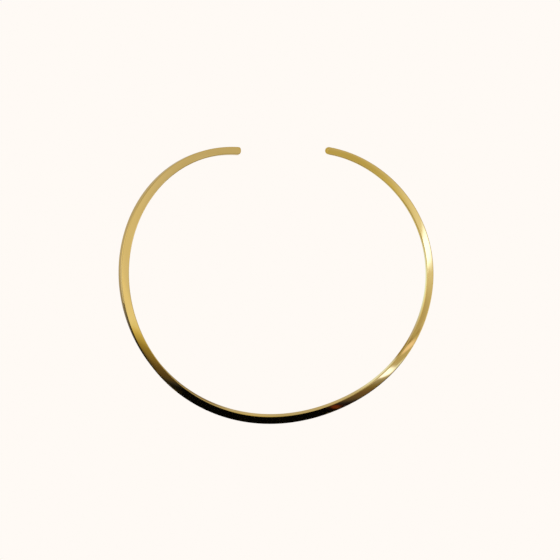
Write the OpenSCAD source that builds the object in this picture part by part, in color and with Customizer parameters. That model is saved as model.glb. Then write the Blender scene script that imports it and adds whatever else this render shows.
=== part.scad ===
// Open collar choker: one bar of flat section with softly rounded edges, bent into
// an oval ring that stays open at the back.
// It is drawn as it lies on a table, in millimetres with +Z up. The front of the
// neck is towards -Y, the gap is towards +Y and the wearer's right arm is at -X.

/* [Collar] */
// Inside width of the ring, from arm to arm
neck_w = 128; // [110:1:150]
// Angle from the middle of the front to the end of either arm
arm_end = 158.5; // [150:0.5:164]

/* [Bar] */
// Width of the bar's broad face at the front
bar_w = 3.3; // [2.8:0.1:5]
// Thickness of the bar
bar_t = 2.5; // [1.6:0.1:3.2]
// Rounding of the long edges
edge_r = 0.35; // [0.1:0.05:0.6]

/* [Ends] */
// Length over which the left arm's end is rounded
left_end_l = 1.3; // [0.8:0.1:2]
// Shape of the left arm's end, from half round to nearly square
left_end_power = 3; // [2:0.5:4]
// Length over which the right arm's end is rounded
right_end_l = 1.6; // [0.8:0.1:2]
// Shape of the right arm's end, from half round to nearly square
right_end_power = 2; // [2:0.5:4]

/* [Hidden] */
gold = [0.83, 0.68, 0.36];

// Columns of the section table
ANGLE = 0;
RADIUS = 1;
SLANT = 2;
WIDTH = 3;

// One row for each section, from the left arm's end round the front to the right
// arm's end: angle from the middle of the front, distance from the middle of the
// ring to the bar's centreline in a ring of the drawn width, slant of the broad
// face (above 0 it falls outward, below 0 it falls inward), and the width of the
// broad face as a share of that at the front.
SECTIONS = [
    [-157.5, 50.0, 5, 0.88],
    [-135.0, 58.6, -8, 0.95],
    [-112.5, 63.4, -17, 1.03],
    [-90.0, 65.6, -16, 1.08],
    [-67.5, 66.0, -4, 1.00],
    [-45.0, 65.3, 13, 1.00],
    [-22.5, 63.5, 22, 1.05],
    [0.0, 62.0, 19, 1.05],
    [22.5, 62.1, 10, 1.03],
    [45.0, 65.0, 0, 0.95],
    [67.5, 67.2, -10, 0.92],
    [90.0, 67.4, -15, 0.91],
    [112.5, 63.6, -16, 0.93],
    [135.0, 57.6, -15, 0.93],
    [157.5, 51.8, -13, 0.92],
];
drawn_neck_w = 128;
row_step = SECTIONS[1][ANGLE] - SECTIONS[0][ANGLE];
last_row = len(SECTIONS) - 1;

// How finely the bar is cut into sections and corners
arm_steps = 120;
end_steps = 6;
corner_steps = 4;
first_end_step = 0.4;
// The bar's height eases over this much slant where the slant changes side
ease = 0.15;

ring_scale = neck_w / drawn_neck_w;

// A value of the table, with a straight run past its first and last row
function cell(row, column) =
    row < 0 ? 2 * SECTIONS[0][column] - SECTIONS[1][column] :
    row > last_row ? 2 * SECTIONS[last_row][column] - SECTIONS[last_row - 1][column] :
    SECTIONS[row][column];

// A column blended smoothly through four neighbouring rows
function blend(angle, column) =
    let (place = (angle - SECTIONS[0][ANGLE]) / row_step)
    let (row = max(0, min(last_row - 1, floor(place))))
    let (s = place - row)
    (pow(1 - s, 3) * cell(row - 1, column)
    + (3 * pow(s, 3) - 6 * s * s + 4) * cell(row, column)
    + (-3 * pow(s, 3) + 3 * s * s + 3 * s + 1) * cell(row + 1, column)
    + pow(s, 3) * cell(row + 2, column)) / 6;

function radius(angle) = ring_scale * blend(angle, RADIUS);

// Centreline of the bar seen from above
function centre(angle) = radius(angle) * [sin(angle), -cos(angle)];

// Direction square to the centreline, away from the neck
function outward(angle) =
    let (along = centre(angle + 0.5) - centre(angle - 0.5))
    [along[1], -along[0]] / norm(along);

// Height of the centreline at which the lowest edge just reaches the table
function lift(slant, half_w, half_t) =
    (half_w - edge_r) * sqrt(pow(sin(slant), 2) + pow(ease, 2))
    + (half_t - edge_r) * cos(slant) + edge_r;

// Outline of the bar's section: a rectangle with its four corners rounded
function outline(half_w, half_t) =
    let (r = min(edge_r, 0.9 * half_w, 0.9 * half_t))
    [for (corner = [0 : 3])
        let (side_x = (corner == 0 || corner == 3) ? 1 : -1)
        let (side_y = corner < 2 ? 1 : -1)
        for (step = [0 : corner_steps])
            let (turn = 90 * (corner + step / corner_steps))
            [side_x * (half_w - r) + r * cos(turn), side_y * (half_t - r) + r * sin(turn)]];

// One ring of points: the outline stood on the centreline and slanted
function ring(angle, width_share, half_t) =
    let (slant = blend(angle, SLANT))
    let (full_half_w = bar_w / 2 * blend(angle, WIDTH))
    let (c = centre(angle))
    let (out = outward(angle))
    let (z = lift(slant, full_half_w, bar_t / 2))
    [for (p = outline(full_half_w * width_share, half_t))
        let (reach = p[0] * cos(slant) + p[1] * sin(slant))
        [c[0] + out[0] * reach, c[1] + out[1] * reach,
            z - p[0] * sin(slant) + p[1] * cos(slant)]];

// Share of the bar's width that is left at a distance from its end
function end_share(distance, end_l, power) =
    pow(1 - pow(max(0, 1 - distance / end_l), power), 1 / power);

// Half thickness at a distance from the bar's end, whose edges are rounded too
function end_half_t(distance) =
    let (short = max(0, edge_r - distance))
    bar_t / 2 - edge_r + sqrt(edge_r * edge_r - short * short);

// Rings of one rounded end, from its tip inward
function end_rings(side, end_l, power) =
    [for (step = [0 : end_steps])
        let (turn = 90 * (first_end_step + step) / (first_end_step + end_steps))
        let (distance = end_l * (1 - cos(turn)))
        let (angle = arm_end - distance / radius(side * arm_end) * 180 / PI)
        ring(side * angle, end_share(distance, end_l, power), end_half_t(distance))];

function reversed(list) = [for (i = [len(list) - 1 : -1 : 0]) list[i]];

// Rings between the two rounded ends
left_start = -arm_end + left_end_l / radius(-arm_end) * 180 / PI;
right_start = arm_end - right_end_l / radius(arm_end) * 180 / PI;
arm_rings = [for (step = [1 : arm_steps - 1])
    ring(left_start + (right_start - left_start) * step / arm_steps, 1, bar_t / 2)];

rings = concat(
    end_rings(-1, left_end_l, left_end_power),
    arm_rings,
    reversed(end_rings(1, right_end_l, right_end_power)));
points = [for (r = rings) for (p = r) p];
ring_n = len(rings[0]);
last_ring = len(rings) - 1;

// Faces: a band of triangles between each ring and the next, and two flat tips
side_faces = [for (i = [0 : last_ring - 1]) for (j = [0 : ring_n - 1])
    let (a = i * ring_n + j)
    let (b = i * ring_n + (j + 1) % ring_n)
    for (face = [[a, b, a + ring_n], [b, b + ring_n, a + ring_n]])
        face];
left_tip = [for (j = [ring_n - 1 : -1 : 0]) j];
right_tip = [for (j = [0 : ring_n - 1]) last_ring * ring_n + j];

// Middle of the footprint and the lowest point, which go to the origin
xs = [for (p = points) p[0]];
ys = [for (p = points) p[1]];
zs = [for (p = points) p[2]];
foot = [(min(xs) + max(xs)) / 2, (min(ys) + max(ys)) / 2, min(zs)];

module collar() {
    color(gold)
        translate(-foot)
            polyhedron(points, concat(side_faces, [left_tip, right_tip]));
}

collar();
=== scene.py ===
import math

import bpy
from mathutils import Matrix, Vector


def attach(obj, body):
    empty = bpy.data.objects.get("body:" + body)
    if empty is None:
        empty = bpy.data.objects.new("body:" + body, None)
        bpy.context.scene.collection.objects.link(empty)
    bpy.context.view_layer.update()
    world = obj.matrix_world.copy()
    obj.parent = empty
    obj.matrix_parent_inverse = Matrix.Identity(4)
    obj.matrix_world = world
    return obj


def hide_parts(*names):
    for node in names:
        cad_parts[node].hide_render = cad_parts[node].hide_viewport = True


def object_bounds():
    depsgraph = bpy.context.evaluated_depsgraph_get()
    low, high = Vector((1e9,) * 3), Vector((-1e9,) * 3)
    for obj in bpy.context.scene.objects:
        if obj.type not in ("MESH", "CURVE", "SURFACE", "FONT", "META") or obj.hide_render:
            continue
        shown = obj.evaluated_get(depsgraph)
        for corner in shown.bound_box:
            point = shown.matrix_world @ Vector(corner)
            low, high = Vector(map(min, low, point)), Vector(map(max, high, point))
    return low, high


# An open collar choker of polished gold, lying flat on a pale table.
# Lengths are written in millimetres and brought to metres by MM.
# +X is the wearer's left arm, -Y the front of the neck, +Z up.
MM = 0.001

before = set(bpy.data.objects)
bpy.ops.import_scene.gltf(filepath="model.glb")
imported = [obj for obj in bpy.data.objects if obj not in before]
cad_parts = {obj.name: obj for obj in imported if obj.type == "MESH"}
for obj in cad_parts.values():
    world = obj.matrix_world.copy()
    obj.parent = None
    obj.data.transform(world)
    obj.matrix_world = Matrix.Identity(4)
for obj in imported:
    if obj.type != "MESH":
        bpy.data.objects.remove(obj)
cad_low, cad_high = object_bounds()

# The bar, with the same sections as the solid that it stands for

# One row for each section, from one arm's end round the front to the other:
# angle from the middle of the front, distance of the centreline from the middle
# of the ring, slant of the broad face (above 0 it falls outward), and the width
# of the broad face as a share of that at the front.
SECTIONS = [
    (-157.5, 50.0, 5, 0.88),
    (-135.0, 58.6, -8, 0.95),
    (-112.5, 63.4, -17, 1.03),
    (-90.0, 65.6, -16, 1.08),
    (-67.5, 66.0, -4, 1.00),
    (-45.0, 65.3, 13, 1.00),
    (-22.5, 63.5, 22, 1.05),
    (0.0, 62.0, 19, 1.05),
    (22.5, 62.1, 10, 1.03),
    (45.0, 65.0, 0, 0.95),
    (67.5, 67.2, -10, 0.92),
    (90.0, 67.4, -15, 0.91),
    (112.5, 63.6, -16, 0.93),
    (135.0, 57.6, -15, 0.93),
    (157.5, 51.8, -13, 0.92),
]
ANGLE, RADIUS, SLANT, WIDTH = range(4)
ROW_STEP = SECTIONS[1][ANGLE] - SECTIONS[0][ANGLE]
ARM_END = 158.5
BAR_W = 3.3
BAR_T = 2.5
EDGE_R = 0.35
# The rounding takes at most this share of a half size, where an end narrows the bar
MOST_ROUNDING = 0.9
# The bar's height eases over this much slant where the slant changes side
SLANT_EASE = 0.15
# Polishing leaves the broad faces slightly crowned: how far they lean at the edges
CROWN_LEAN = math.radians(4)
# Length and shape of the two rounded ends: (length, power)
LEFT_TIP = (1.3, 3)
RIGHT_TIP = (1.6, 2)

# How finely the bar is cut into sections, and its outline into points
ARM_STEPS = 960
TIP_STEPS = 18
FIRST_TIP_STEP = 0.25
FACE_STEPS = 14
THIN_STEPS = 6
CORNER_STEPS = 7


def table_row(row):
    """A row of the section table, with a straight run past its first and last row."""
    last = len(SECTIONS) - 1
    if row < 0:
        return [2 * a - b for a, b in zip(SECTIONS[0], SECTIONS[1])]
    if row > last:
        return [2 * a - b for a, b in zip(SECTIONS[last], SECTIONS[last - 1])]
    return SECTIONS[row]


def blend(angle, column):
    """A column blended smoothly through four neighbouring rows."""
    place = (angle - SECTIONS[0][ANGLE]) / ROW_STEP
    row = max(0, min(len(SECTIONS) - 2, math.floor(place)))
    s = place - row
    shares = ((1 - s) ** 3, 3 * s**3 - 6 * s**2 + 4, -3 * s**3 + 3 * s**2 + 3 * s + 1, s**3)
    return sum(share * table_row(row - 1 + i)[column] for i, share in enumerate(shares)) / 6


def centre(angle):
    """The bar's centreline seen from above."""
    turn = math.radians(angle)
    return Vector((math.sin(turn), -math.cos(turn), 0)) * blend(angle, RADIUS)


def outward(angle):
    """The level direction square to the centreline, away from the neck."""
    nudge = 0.5
    along = (centre(angle + nudge) - centre(angle - nudge)).normalized()
    return Vector((along.y, -along.x, 0))


def lift(slant, half_w, half_t):
    """Height of the centreline at which the lowest edge just reaches the table."""
    return (
        (half_w - EDGE_R) * math.hypot(math.sin(slant), SLANT_EASE)
        + (half_t - EDGE_R) * math.cos(slant)
        + EDGE_R
    )


def outline(half_w, half_t):
    """The bar's section: two crowned broad faces, two thin faces and four round edges."""
    r = min(EDGE_R, MOST_ROUNDING * half_w, MOST_ROUNDING * half_t)
    rise = 0.5 * math.tan(CROWN_LEAN) * half_w
    flat_w = half_w - r
    flat_t = half_t - r

    def crowned(x, y):
        share = x / half_w
        return (x, y * (1 + rise * (1 - share * share) / half_t))

    points = []
    for corner, (side_x, side_y) in enumerate(((1, 1), (-1, 1), (-1, -1), (1, -1))):
        for step in range(CORNER_STEPS + 1):
            turn = math.radians(90 * (corner + step / CORNER_STEPS))
            points.append(crowned(
                side_x * flat_w + r * math.cos(turn), side_y * flat_t + r * math.sin(turn)))
        if side_x == side_y:
            for step in range(1, FACE_STEPS):
                points.append(crowned(
                    side_x * flat_w * math.cos(math.pi * step / FACE_STEPS), side_y * half_t))
        else:
            for step in range(1, THIN_STEPS):
                points.append(crowned(
                    side_x * half_w, side_y * flat_t * math.cos(math.pi * step / THIN_STEPS)))
    return points


def ring(angle, width_share=1.0, half_t=BAR_T / 2):
    """One ring of points: the section stood on the centreline and slanted."""
    slant = math.radians(blend(angle, SLANT))
    full_half_w = BAR_W / 2 * blend(angle, WIDTH)
    out = outward(angle)
    base = centre(angle) + Vector((0, 0, lift(slant, full_half_w, BAR_T / 2)))
    wide = out * math.cos(slant) - Vector((0, 0, math.sin(slant)))
    deep = out * math.sin(slant) + Vector((0, 0, math.cos(slant)))
    section = outline(full_half_w * width_share, half_t)
    return [base + wide * x + deep * y for x, y in section]


def tip_rings(side, length, power):
    """Rings of one rounded end, from its tip inward."""
    made = []
    for step in range(TIP_STEPS + 1):
        turn = math.radians(90 * (FIRST_TIP_STEP + step) / (FIRST_TIP_STEP + TIP_STEPS))
        distance = length * (1 - math.cos(turn))
        angle = ARM_END - math.degrees(distance / blend(side * ARM_END, RADIUS))
        share = (1 - (1 - distance / length) ** power) ** (1 / power)
        short = max(0.0, EDGE_R - distance)
        half_t = BAR_T / 2 - EDGE_R + math.sqrt(EDGE_R**2 - short**2)
        made.append(ring(side * angle, share, half_t))
    return made


def arm_rings():
    """Rings of the long stretch between the two rounded ends."""
    start = -ARM_END + math.degrees(LEFT_TIP[0] / blend(-ARM_END, RADIUS))
    end = ARM_END - math.degrees(RIGHT_TIP[0] / blend(ARM_END, RADIUS))
    return [ring(start + (end - start) * step / ARM_STEPS) for step in range(1, ARM_STEPS)]


def lengths_along(rings):
    """Distance of each ring from the first, measured along the rings' middles."""
    middles = [sum(r, Vector()) / len(r) for r in rings]
    run = [0.0]
    for before, after in zip(middles, middles[1:]):
        run.append(run[-1] + (after - before).length)
    return run


def collar_mesh():
    """The whole bar as one closed skin, with its own coordinates along and round it."""
    rings = tip_rings(-1, *LEFT_TIP) + arm_rings() + tip_rings(1, *RIGHT_TIP)[::-1]
    count = len(rings[0])
    points = [p for r in rings for p in r]
    low = Vector([min(p[i] for p in points) for i in range(3)])
    high = Vector([max(p[i] for p in points) for i in range(3)])
    cad_middle = (cad_low + cad_high) / 2 / MM
    shift = Vector((
        cad_middle.x - (low.x + high.x) / 2,
        cad_middle.y - (low.y + high.y) / 2,
        cad_low.z / MM - low.z,
    ))
    faces = []
    for i in range(len(rings) - 1):
        for j in range(count):
            a = i * count + j
            b = i * count + (j + 1) % count
            faces.append((a, b, b + count, a + count))
    faces.append(tuple(reversed(range(count))))
    faces.append(tuple((len(rings) - 1) * count + j for j in range(count)))
    mesh = bpy.data.meshes.new("collar_skin")
    mesh.from_pydata([(p + shift) * MM for p in points], [], faces)
    mesh.polygons.foreach_set("use_smooth", [True] * len(faces))

    run = lengths_along(rings)
    girth = [0.0]
    middle_ring = rings[len(rings) // 2]
    for j in range(count):
        girth.append(girth[-1] + (middle_ring[(j + 1) % count] - middle_ring[j]).length)
    layer = mesh.uv_layers.new(name="bar_run")
    for face in mesh.polygons:
        wraps = max(v % count for v in face.vertices) - min(v % count for v in face.vertices)
        for loop in face.loop_indices:
            vertex = mesh.loops[loop].vertex_index
            place = vertex % count
            if wraps == count - 1 and place == 0:
                place = count
            layer.data[loop].uv = (run[vertex // count] * MM, girth[place] * MM)
    mesh.validate()
    return mesh


# Materials

class NodeSheet:
    """Short ways to add nodes to a tree and to join them."""

    def __init__(self, tree):
        self.tree = tree

    def add(self, kind, **settings):
        node = self.tree.nodes.new(kind)
        for name, value in settings.items():
            setattr(node, name, value)
        return node

    def link(self, source, target):
        self.tree.links.new(source, target)

    def feed(self, socket, value):
        if isinstance(value, bpy.types.NodeSocket):
            self.link(value, socket)
        else:
            socket.default_value = value

    def math(self, operation, a, b=0.0):
        node = self.add("ShaderNodeMath", operation=operation)
        self.feed(node.inputs[0], a)
        self.feed(node.inputs[1], b)
        return node.outputs[0]

    def dot(self, a, b):
        node = self.add("ShaderNodeVectorMath", operation="DOT_PRODUCT")
        self.feed(node.inputs[0], a)
        self.feed(node.inputs[1], b)
        return node.outputs["Value"]

    def mix(self, share, a, b):
        """Two colours mixed: a colour mix has them at sockets 6 and 7, and its result at 2."""
        node = self.add("ShaderNodeMix", data_type="RGBA")
        self.feed(node.inputs[0], share)
        self.feed(node.inputs[6], a)
        self.feed(node.inputs[7], b)
        return node.outputs[2]

    def ease(self, value, low, high, to_low=0.0, to_high=1.0):
        node = self.add("ShaderNodeMapRange", interpolation_type="SMOOTHSTEP")
        self.feed(node.inputs["Value"], value)
        self.feed(node.inputs["From Min"], low)
        self.feed(node.inputs["From Max"], high)
        self.feed(node.inputs["To Min"], to_low)
        self.feed(node.inputs["To Max"], to_high)
        return node.outputs[0]

    def stretched(self, vector, scale):
        node = self.add("ShaderNodeVectorMath", operation="MULTIPLY")
        self.feed(node.inputs[0], vector)
        node.inputs[1].default_value = scale
        return node.outputs[0]

    def noise(self, vector, scale, detail, rough=0.5):
        node = self.add("ShaderNodeTexNoise")
        self.feed(node.inputs["Vector"], vector)
        node.inputs["Scale"].default_value = scale
        node.inputs["Detail"].default_value = detail
        node.inputs["Roughness"].default_value = rough
        return node.outputs["Fac"]

    def bump(self, height, strength, depth, under=None):
        """The normal of a surface with a height of its own, at most depth mm high."""
        node = self.add("ShaderNodeBump")
        node.inputs["Strength"].default_value = strength
        node.inputs["Distance"].default_value = depth * MM
        self.link(height, node.inputs["Height"])
        if under is not None:
            self.link(under, node.inputs["Normal"])
        return node.outputs["Normal"]

    def place_in_mm(self):
        """Where a place lies on its own object, in mm."""
        place = self.add("ShaderNodeTexCoord").outputs["Object"]
        return self.stretched(place, (1 / MM, 1 / MM, 1 / MM))


def new_material(name):
    material = bpy.data.materials.new(name)
    material.use_nodes = True
    material.node_tree.nodes.clear()
    return material, NodeSheet(material.node_tree)


# The gold's deeper and paler tone, and the grain of the patches between them
GOLD_TONES = ((0.93, 0.665, 0.225, 1), (0.955, 0.69, 0.25, 1))
TONE_GRAIN = 90
# Roughness between and on the hairlines of polishing, and what cloudy patches add
HAIRLINE_ROUGH = (0.045, 0.10)
CLOUD_ROUGH = (0.0, 0.035)
CLOUD_GRAIN = 260
# Hairlines and waves: their grain along and across the bar, and their depth in mm
HAIRLINE_GRAIN = (300, 9000, 1)
HAIRLINE_DEPTH = 0.0006
WAVE_GRAIN = (160, 420, 1)
WAVE_DEPTH = 0.02


def gold_material():
    """Mirror polished yellow gold with the faint marks of hand polishing."""
    material, sheet = new_material("polished_gold")
    out = sheet.add("ShaderNodeOutputMaterial")
    metal = sheet.add("ShaderNodeBsdfPrincipled")
    metal.inputs["Metallic"].default_value = 1.0
    run = sheet.add("ShaderNodeUVMap", uv_map="bar_run").outputs["UV"]
    place = sheet.add("ShaderNodeTexCoord").outputs["Object"]

    tone = sheet.noise(place, TONE_GRAIN, detail=3)
    colour = sheet.mix(sheet.ease(tone, 0.3, 0.7), *GOLD_TONES)
    sheet.link(colour, metal.inputs["Base Color"])

    hairlines = sheet.noise(sheet.stretched(run, HAIRLINE_GRAIN), 1, detail=4, rough=0.65)
    cloudy = sheet.noise(place, CLOUD_GRAIN, detail=4)
    rough = sheet.math("ADD", sheet.ease(hairlines, 0.5, 0.8, *HAIRLINE_ROUGH),
                       sheet.ease(cloudy, 0.4, 0.75, *CLOUD_ROUGH))
    sheet.link(rough, metal.inputs["Roughness"])

    waves = sheet.noise(sheet.stretched(run, WAVE_GRAIN), 1, detail=2)
    waved = sheet.bump(waves, strength=0.35, depth=WAVE_DEPTH)
    lined = sheet.bump(hairlines, strength=0.25, depth=HAIRLINE_DEPTH, under=waved)
    sheet.link(lined, metal.inputs["Normal"])
    sheet.link(metal.outputs[0], out.inputs["Surface"])
    return material


def table_material():
    """Pale table top: the eye sees it evenly bright, the metal sees light and shade on it."""
    material, sheet = new_material("pale_table")
    out = sheet.add("ShaderNodeOutputMaterial")
    place = sheet.place_in_mm()
    colour = sheet.mix(sheet.noise(place, TABLE_GRAIN, detail=3), *TABLE_TONES)
    for x, y, half_l, half_w, turn, softness, tint in TABLE_LIGHTS:
        mask = flat_patch(sheet, place, x, y, half_l, half_w, turn, softness)
        colour = sheet.mix(mask, colour, (*tint, 1))
    colour = sheet.mix(front_shade(sheet, place), colour, SHADE_TONE)
    seen = sheet.add("ShaderNodeLightPath").outputs["Is Camera Ray"]
    colour = sheet.mix(seen, colour, (*SEEN_COLOUR, 1))
    glow = sheet.add("ShaderNodeEmission")
    sheet.link(colour, glow.inputs["Color"])
    sheet.link(glow.outputs[0], out.inputs["Surface"])
    return material


def front_shade(sheet, place):
    """How deep a place on the table lies in the shade outside the front of the ring."""
    within = flat_patch(sheet, place, *SHADE_RING, turn=0, softness=SHADE_SOFTNESS)
    front = sheet.ease(sheet.dot(place, (0, 1, 0)), *SHADE_FADE_BACK, 1.0, 0.0)
    left = sheet.ease(sheet.dot(place, SHADE_LEFT_WAY), *SHADE_FADE_LEFT, 1.0, 0.0)
    return sheet.math("MULTIPLY", sheet.math("SUBTRACT", 1.0, within),
                      sheet.math("MULTIPLY", front, left))


# Light: a pale room, two graded cards over the front of the ring, dark cloth and paper

# Soft patches of light in the room. Each has a name, its place in degrees from
# straight overhead towards +X and +Y, half length and half width in degrees, the
# turn of its length from +X, softness of its edge, squareness (2 is an ellipse,
# more is squarer) and colour. Later rows lie over earlier ones.
ROOM_LIGHTS = [
    ("cool_wall", 45, 5, 31, 40, 0, 0.08, 3, (0.56, 0.55, 0.54)),
    ("wall_glow", 40, -3, 13, 8, 0, 0.6, 2, (0.70, 0.69, 0.67)),
    ("wall_hot", 27, 1.5, 6, 4, 0, 0.6, 2, (0.82, 0.80, 0.74)),
    ("warm_ceiling", 9, -19, 16, 9, 0, 0.5, 2, (0.50, 0.47, 0.26)),
    ("warm_glow", 2, -19.5, 5, 4, 0, 0.5, 2, (0.60, 0.57, 0.30)),
    ("dim_wall", 5, 6, 8.5, 4, -10, 0.4, 2, (0.46, 0.43, 0.34)),
    ("far_corner", 57, 39, 10, 9, 0, 0.5, 2, (0.28, 0.25, 0.18)),
    ("dark_shelf", -7, 20, 10, 5, -50, 0.4, 2, (0.12, 0.08, 0.03)),
    ("warm_back", 29, 46, 24, 7, 76, 0.5, 2, (0.53, 0.47, 0.18)),
    ("side_glow", 68, -20, 18, 13, -10, 0.25, 2, (1.05, 1.05, 1.15)),
    ("window_wall", -55, -5, 30, 28, 0, 0.5, 3, (1.10, 1.08, 1.06)),
    ("wall_shade", -44, -10, 13, 18, 0, 0.5, 2, (0.42, 0.39, 0.30)),
    ("lamp_glow", 0, -7, 13, 9, 0, 0.6, 2, (0.80, 0.84, 0.90)),
    ("lamp_end", -8.5, -3, 4, 5, 0, 0.4, 2, (1.50, 2.00, 3.50)),
    ("ceiling_lamp", -5, -5.3, 13, 3.3, 6, 0.45, 2, (1.50, 2.00, 3.80)),
]
# The room's own colour, and the even pale colour that the eye sees instead
ROOM_COLOUR = (0.53, 0.51, 0.42)
SEEN_COLOUR = (1.0, 0.956, 0.913)

# The table's faint grain: its two tones, and its fineness per mm
TABLE_TONES = ((0.49, 0.48, 0.47, 1), (0.52, 0.51, 0.50, 1))
TABLE_GRAIN = 0.04
# Soft patches of light and shade on the table: x, y, half length and half width in
# mm, turn of the length from +X, softness and colour. Later rows lie over earlier
# ones. The last two lie round the left arm's end, and along the inner foot of the
# bar between that arm and the front.
TABLE_LIGHTS = [
    (46, 33, 32, 10, 134, 0.4, (0.57, 0.54, 0.27)),
    (24, -43, 10, 7, 25, 0.6, (0.55, 0.56, 0.56)),
    (-28, 46, 16, 9, 0, 0.5, (0.62, 0.60, 0.56)),
    (62, 0, 13, 7, 90, 0.8, (0.85, 1.05, 1.10)),
    (41.5, -38, 9, 3.5, 36, 0.6, (0.80, 0.94, 1.15)),
    (-38, -39, 14, 6, -38, 0.5, (0.26, 0.22, 0.16)),
    (-10, -44, 8, 6, 0, 0.6, (0.68, 0.65, 0.56)),
    (17, 56, 9, 8, 0, 0.5, (0.52, 0.46, 0.18)),
    (53.2, -27.7, 4.5, 1.3, 52, 0.5, (0.31, 0.25, 0.09)),
]
# The shade outside the front of the ring: its tone, the middle and half sizes of the
# oval that it lies outside of, the softness of that edge, and where it fades out
# toward the back and, along a slanting way, toward the wearer's left arm
SHADE_TONE = (0.004, 0.004, 0.004, 1)
SHADE_RING = (-0.7, 7.2, 66.0, 63.5)
SHADE_SOFTNESS = 0.003
SHADE_FADE_BACK = (-32, 14)
SHADE_LEFT_WAY = (0.5, 1, 0)
SHADE_FADE_LEFT = (-22, -10)

# Squareness of an ellipse
ELLIPSE = 2
# How far from its middle a patch may show, as the square of the distance
HALF_THE_SKY = 2.0
WHOLE_TABLE = 1e9


def soft_patch_group():
    """Node group: how far inside a soft edged patch a place or direction lies."""
    group = bpy.data.node_groups.new("soft_patch", "ShaderNodeTree")
    for name in ("Place", "Middle", "Along", "Across"):
        group.interface.new_socket(name, in_out="INPUT", socket_type="NodeSocketVector")
    for name in ("Half Length", "Half Width", "Softness", "Squareness", "Reach"):
        group.interface.new_socket(name, in_out="INPUT", socket_type="NodeSocketFloat")
    group.interface.new_socket("Mask", in_out="OUTPUT", socket_type="NodeSocketFloat")
    sheet = NodeSheet(group)
    given = sheet.add("NodeGroupInput").outputs
    away = sheet.add("ShaderNodeVectorMath", operation="SUBTRACT")
    sheet.link(given["Place"], away.inputs[0])
    sheet.link(given["Middle"], away.inputs[1])
    away = away.outputs[0]
    power = given["Squareness"]
    parts = []
    for axis, half in (("Along", "Half Length"), ("Across", "Half Width")):
        share = sheet.math("DIVIDE", sheet.dot(away, given[axis]), given[half])
        parts.append(sheet.math("POWER", sheet.math("ABSOLUTE", share), power))
    rim = sheet.math("POWER", sheet.math("ADD", *parts), sheet.math("DIVIDE", 1.0, power))
    inner = sheet.math("SUBTRACT", 1.0, given["Softness"])
    outer = sheet.math("ADD", 1.0, given["Softness"])
    mask = sheet.math("SUBTRACT", 1.0, sheet.ease(rim, inner, outer))
    near = sheet.math("LESS_THAN", sheet.dot(away, away), given["Reach"])
    made = sheet.add("NodeGroupOutput")
    sheet.link(sheet.math("MULTIPLY", mask, near), made.inputs["Mask"])
    return group


def soft_patch(sheet, place, middle, along, across, half_l, half_w, softness, square, reach):
    """A soft patch's mask, from the node group."""
    patch = sheet.add("ShaderNodeGroup", node_tree=bpy.data.node_groups["soft_patch"])
    sheet.link(place, patch.inputs["Place"])
    patch.inputs["Middle"].default_value = middle
    patch.inputs["Along"].default_value = along
    patch.inputs["Across"].default_value = across
    patch.inputs["Half Length"].default_value = half_l
    patch.inputs["Half Width"].default_value = half_w
    patch.inputs["Softness"].default_value = softness
    patch.inputs["Squareness"].default_value = square
    patch.inputs["Reach"].default_value = reach
    return patch.outputs["Mask"]


def flat_patch(sheet, place, x, y, half_l, half_w, turn, softness):
    """A patch on a flat thing, in the same unit as the place."""
    c, s = math.cos(math.radians(turn)), math.sin(math.radians(turn))
    return soft_patch(
        sheet, place, (x, y, 0), (c, s, 0), (-s, c, 0),
        half_l, half_w, softness, ELLIPSE, WHOLE_TABLE)


def overhead(x, y):
    """Unit vector to a place x and y degrees from straight overhead."""
    away = math.radians(math.hypot(x, y))
    turn = math.atan2(y, x)
    return Vector((
        math.sin(away) * math.cos(turn), math.sin(away) * math.sin(turn), math.cos(away)))


def light_the_room():
    """World light: the pale room with its patches; the eye sees an even pale ground."""
    world = bpy.data.worlds.new("studio")
    bpy.context.scene.world = world
    world.use_nodes = True
    world.node_tree.nodes.clear()
    sheet = NodeSheet(world.node_tree)
    ray = sheet.add("ShaderNodeTexCoord").outputs["Generated"]
    colour = (*ROOM_COLOUR, 1)
    for name, x, y, length, width, turn, softness, square, tint in ROOM_LIGHTS:
        middle = overhead(x, y)
        step_x, step_y = math.cos(math.radians(turn)), math.sin(math.radians(turn))
        along = (overhead(x + step_x, y + step_y) - overhead(x - step_x, y - step_y)).normalized()
        mask = soft_patch(
            sheet, ray, middle, along, middle.cross(along),
            math.sin(math.radians(length)), math.sin(math.radians(width)),
            softness, square, HALF_THE_SKY)
        mask.node.label = name
        colour = sheet.mix(mask, colour, (*tint, 1))
    seen = sheet.add("ShaderNodeLightPath").outputs["Is Camera Ray"]
    colour = sheet.mix(seen, colour, (*SEEN_COLOUR, 1))
    back = sheet.add("ShaderNodeBackground")
    sheet.link(colour, back.inputs["Color"])
    out = sheet.add("ShaderNodeOutputWorld")
    sheet.link(back.outputs[0], out.inputs["Surface"])


def cut_card(name, sheets, material):
    """A thing of the studio, from the corners in mm of each of its flat sheets."""
    mesh = bpy.data.meshes.new(name)
    points = [Vector(corner) * MM for sheet in sheets for corner in sheet]
    faces = []
    for sheet in sheets:
        start = sum(len(face) for face in faces)
        faces.append(tuple(range(start, start + len(sheet))))
    mesh.from_pydata(points, [], faces)
    card = bpy.data.objects.new(name, mesh)
    bpy.context.scene.collection.objects.link(card)
    mesh.materials.append(material)
    return card


def flat_card(name, half_x, half_y, material):
    """A level rectangle of the studio, round its own middle."""
    corners = [(-half_x, -half_y), (half_x, -half_y), (half_x, half_y), (-half_x, half_y)]
    return cut_card(name, [[(x, y, 0) for x, y in corners]], material)


def upright_sheets(foot, height):
    """Sheets that stand on the table along a bent line."""
    return [
        [(x0, y0, 0), (x1, y1, 0), (x1, y1, height), (x0, y0, height)]
        for (x0, y0), (x1, y1) in zip(foot, foot[1:])
    ]


def only_in_reflections(card):
    """The metal sees the card, and the eye and the table don't."""
    card.visible_camera = False
    card.visible_diffuse = False
    card.visible_shadow = False
    card.visible_transmission = False


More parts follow.
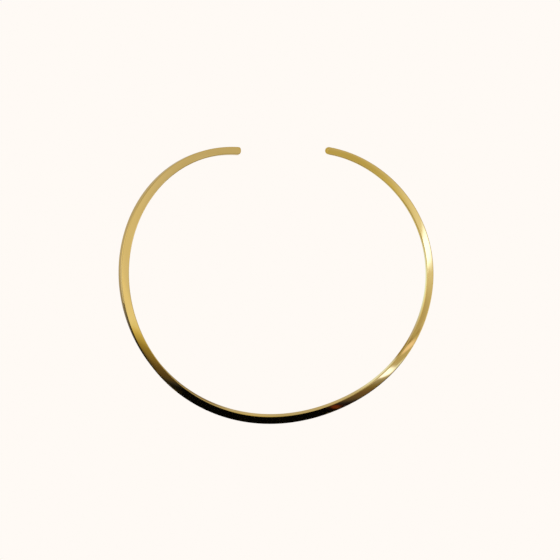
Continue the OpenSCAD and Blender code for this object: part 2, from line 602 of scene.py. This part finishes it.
def plain_material(name, colour):
    """Evenly lit cloth or paper."""
    material, sheet = new_material(name)
    glow = sheet.add("ShaderNodeEmission")
    glow.inputs["Color"].default_value = (*colour, 1)
    out = sheet.add("ShaderNodeOutputMaterial")
    sheet.link(glow.outputs[0], out.inputs["Surface"])
    return material


def graded_card_material(name, grade, stops, patches, fades):
    """A softly lit card, graded along one direction of its own.

    The grade is the (x, y) that the card's mm are weighed by. Stops are (mm, colour).
    Patches are (x mm, y mm, half length mm, half width mm, turn, softness, colour).
    Fades are (x, y, full at, gone at): along that direction the card turns clear.
    """
    material, sheet = new_material(name)
    out = sheet.add("ShaderNodeOutputMaterial")
    place = sheet.place_in_mm()
    low, high = stops[0][0], stops[-1][0]
    span = sheet.add("ShaderNodeMapRange")
    sheet.link(sheet.dot(place, (*grade, 0)), span.inputs["Value"])
    span.inputs["From Min"].default_value = low
    span.inputs["From Max"].default_value = high
    ramp = sheet.add("ShaderNodeValToRGB")
    sheet.link(span.outputs[0], ramp.inputs[0])
    marks = ramp.color_ramp.elements
    marks[0].position = 0
    marks[-1].position = 1
    for at, _ in stops[1:-1]:
        marks.new((at - low) / (high - low))
    for mark, (_, colour) in zip(marks, stops):
        mark.color = (*colour, 1)
    colour = ramp.outputs["Color"]
    for x, y, half_l, half_w, turn, softness, tint in patches:
        mask = flat_patch(sheet, place, x, y, half_l, half_w, turn, softness)
        colour = sheet.mix(mask, colour, (*tint, 1))
    cover = 1.0
    for x, y, full_at, gone_at in fades:
        fade = sheet.ease(sheet.dot(place, (x, y, 0)), full_at, gone_at, 1.0, 0.0)
        cover = sheet.math("MULTIPLY", fade, cover)
    glow = sheet.add("ShaderNodeEmission")
    sheet.link(colour, glow.inputs["Color"])
    pick = sheet.add("ShaderNodeMixShader")
    sheet.feed(pick.inputs[0], cover)
    sheet.link(sheet.add("ShaderNodeBsdfTransparent").outputs[0], pick.inputs[1])
    sheet.link(glow.outputs[0], pick.inputs[2])
    sheet.link(pick.outputs[0], out.inputs["Surface"])
    return material


def hang_card(name, material, half_x, half_y, place, turn):
    """A graded card hung level over the ring: place in mm, turn from +X."""
    card = flat_card(name, half_x, half_y, material)
    card.location = Vector(place) * MM
    card.rotation_euler = (0, 0, math.radians(turn))
    only_in_reflections(card)


def hang_left_card():
    """Over the wearer's right front: pale, gold, brown and black, with dark outer edges."""
    stops = [
        (-90, (0.002, 0.002, 0.003)),
        (-80, (0.01, 0.01, 0.015)),
        (-70, (0.03, 0.03, 0.035)),
        (-60, (0.065, 0.05, 0.03)),
        (-50, (0.085, 0.06, 0.03)),
        (-30, (0.115, 0.085, 0.04)),
        (-20, (0.15, 0.11, 0.05)),
        (-10, (0.21, 0.165, 0.065)),
        (0, (0.25, 0.20, 0.07)),
        (8, (0.31, 0.26, 0.09)),
        (13, (0.41, 0.36, 0.15)),
        (17, (0.50, 0.45, 0.19)),
        (20, (0.59, 0.53, 0.24)),
        (23, (0.69, 0.64, 0.38)),
        (26, (0.76, 0.77, 0.62)),
        (30, (0.81, 0.82, 0.75)),
        (36, (0.80, 0.79, 0.71)),
    ]
    patches = [
        (-38, 34, 48, 25, 0, 0.2, (0.02, 0.018, 0.015)),
        (-75, 5, 38, 40, 0, 0.25, (0.02, 0.018, 0.015)),
        (24, 21, 34, 12.8, -6, 0.25, (0.19, 0.17, 0.15)),
        (-17, 14, 36, 13.5, 25, 0.25, (0.05, 0.04, 0.02)),
    ]
    fades = [(1, 0, 42, 67)]
    material = graded_card_material("graded_left", (1, 2), stops, patches, fades)
    hang_card("left_card", material, half_x=70, half_y=45, place=(-45, -35, 90), turn=52)


def hang_right_card():
    """Over the wearer's left front: black, a rust-orange streak of painted glow that the gold
    reflects, brown and a bright window.
    """
    stops = [
        (-40, (0.0, 0.0, 0.0)),
        (-30, (0.01, 0.005, 0.01)),
        (-24, (0.015, 0.012, 0.025)),
        (-20, (0.04, 0.035, 0.045)),
        (-16, (0.085, 0.065, 0.055)),
        (-11, (0.115, 0.085, 0.06)),
        (-2, (0.145, 0.10, 0.07)),
        (2, (0.17, 0.135, 0.075)),
        (6, (0.21, 0.18, 0.10)),
        (9.5, (0.255, 0.23, 0.20)),
        (12.5, (0.32, 0.32, 0.32)),
        (17, (0.47, 0.45, 0.40)),
        (28, (0.49, 0.47, 0.41)),
        (42, (0.47, 0.45, 0.33)),
    ]
    patches = [
        # Painted light: a rust-orange streak of glow, which the gold shows as an orange
        # reflection
        (-26, -22, 12, 2.6, 80, 0.5, (0.13, 0.03, 0.01)),
        (21, 10.5, 6, 2.8, 48, 0.5, (0.75, 0.92, 1.30)),
        (15.8, 19.5, 15, 3.7, 95, 0.45, (1.45, 1.80, 3.40)),
        (13, 52, 20, 2.5, 90, 0.6, (0.80, 0.95, 1.90)),
        (28.0, 33.2, 9.5, 2.8, -66, 0.6, (0.90, 0.80, 0.86)),
        (26.6, 45, 5, 1.3, -65, 0.5, (0.28, 0.20, 0.13)),
        (33.4, 38.3, 5, 1.7, -65, 0.5, (0.34, 0.27, 0.15)),
    ]
    fades = [(1, 0, 32, 38), (1, 0.5, 50, 57), (-0.75, 1, 62, 70)]
    material = graded_card_material("graded_right", (1, 0.3), stops, patches, fades)
    hang_card("right_card", material, half_x=42, half_y=125, place=(83, -68, 90), turn=40)


# Heights of the awning and of the tall wall at its right, in mm
AWNING_Z = 30
TALL_WALL_Z = 75


def hang_dark_awning():
    """A low dark awning round the front, with walls as high round it and a tall one."""
    inner_edge = [(-29, -36), (-27, -41), (-21, -46), (-13, -50), (-5, -52), (0, -49),
                  (5, -43), (9, -38), (13, -34), (17, -34), (22, -37), (26, -44)]
    right_edge = [(31, -66), (37, -78), (46, -95)]
    hem = [(80, -105), (45, -130), (0, -140), (-45, -128), (-74, -100)]
    left_edge = [(-84, -80), (-60, -61), (-48, -61), (-45, -57), (-42, -53), (-36, -44)]
    side_foot = [(-86, -12), (-85, -18), (-79, -34), (-72, -45), (-65, -54), (-58, -61)]
    tall_foot = [(108, -62), (80, -105)]
    roof = [(x, y, AWNING_Z) for x, y in inner_edge + right_edge + hem + left_edge]
    sheets = [
        roof,
        *upright_sheets(hem, AWNING_Z),
        *upright_sheets(side_foot, AWNING_Z),
        *upright_sheets(tall_foot, TALL_WALL_Z),
    ]
    cloth = plain_material("dark_cloth", (0.001, 0.001, 0.001))
    only_in_reflections(cut_card("dark_awning", sheets, cloth))


def lay_brown_strip():
    """A strip of brown paper on the awning's right edge."""
    edge = [(26, -44), (32, -43), (38, -37), (41, -33), (36, -24), (33, -27), (22, -35)]
    paper = plain_material("brown_paper", (0.10, 0.07, 0.04))
    strip = cut_card("brown_strip", [[(x, y, AWNING_Z + 1) for x, y in edge]], paper)
    only_in_reflections(strip)


def stand_warm_screen():
    """A low warm screen that stands round the end of the wearer's left arm."""
    foot = [(19, 70), (10, 66), (10, 48), (16, 43)]
    height = 17
    paper = plain_material("warm_paper", (0.54, 0.48, 0.20))
    only_in_reflections(cut_card("warm_screen", upright_sheets(foot, height), paper))


# Camera

def place_camera():
    """The camera stands high over the table, leaning to the wearer's right."""
    azimuth, height, roll = map(math.radians, (-90.79, 70.835, 90.291))
    aim = Vector((-1.86, 1.67, 0)) * MM
    distance = 365.5 * MM
    back = Vector((
        math.sin(azimuth) * math.cos(height),
        -math.cos(azimuth) * math.cos(height),
        math.sin(height),
    ))
    right = (-back).cross(Vector((0, 0, 1))).normalized()
    up = right.cross(-back)
    rolled_right = right * math.cos(roll) + up * math.sin(roll)
    rolled_up = up * math.cos(roll) - right * math.sin(roll)
    camera = bpy.data.objects.new("camera", bpy.data.cameras.new("camera"))
    bpy.context.scene.collection.objects.link(camera)
    camera.data.sensor_width = 36
    camera.data.lens = 57.33
    camera.data.clip_start = 10 * MM
    camera.data.clip_end = 20
    turn = Matrix((rolled_right, rolled_up, back)).transposed().to_4x4()
    camera.matrix_world = Matrix.Translation(aim + back * distance) @ turn
    bpy.context.scene.camera = camera


# The pieces

def build_collar():
    """The one piece: the bar of the part, more finely made and in polished gold."""
    collar = bpy.data.objects.new("collar_bar", collar_mesh())
    bpy.context.scene.collection.objects.link(collar)
    collar.data.materials.append(gold_material())
    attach(collar, "root")
    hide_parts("collar")


def lay_table():
    """The table top, a hair below the collar so that the two never share a plane."""
    half_size = 3000
    hair = 0.02
    table = flat_card("table_top", half_size, half_size, table_material())
    table.location.z = cad_low.z - hair * MM


def set_colour_management():
    scene = bpy.context.scene
    scene.view_settings.view_transform = "Standard"
    scene.view_settings.look = "None"
    scene.view_settings.exposure = 0
    scene.view_settings.gamma = 1


soft_patch_group()
build_collar()
lay_table()
light_the_room()
hang_left_card()
hang_right_card()
hang_dark_awning()
lay_brown_strip()
stand_warm_screen()
place_camera()
set_colour_management()
